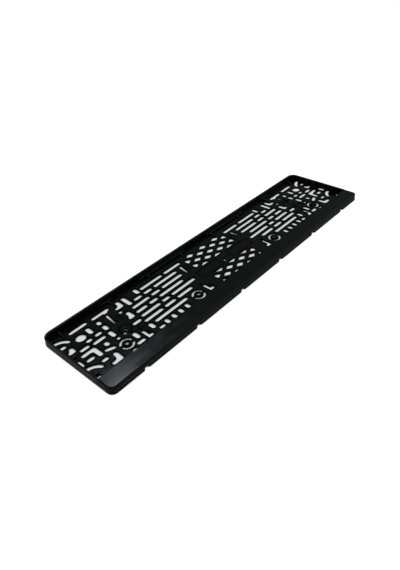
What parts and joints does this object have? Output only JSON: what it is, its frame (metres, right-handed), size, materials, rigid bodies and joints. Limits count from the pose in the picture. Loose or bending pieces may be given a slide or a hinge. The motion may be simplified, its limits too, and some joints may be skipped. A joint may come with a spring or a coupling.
{
  "type": "number plate holder",
  "caption": "Shallow black tray for a car number plate: perforated back panel, low walls, ramps along the top wall and a wide strip along the bottom that covers the plate's lower edge.",
  "frame": {"origin": "middle of the back, on the surface that the holder is screwed to", "axes": "+X along the plate, +Y up the plate and away from the strip, +Z out of the face"},
  "size_m": [0.53, 0.127, 0.0102],
  "materials": {
    "black_plastic": "semi-gloss moulded black, smoother on the strip than on the panel"
  },
  "bodies": {
    "root": {"plate_holder": "black_plastic"}
  },
  "joints": []
}
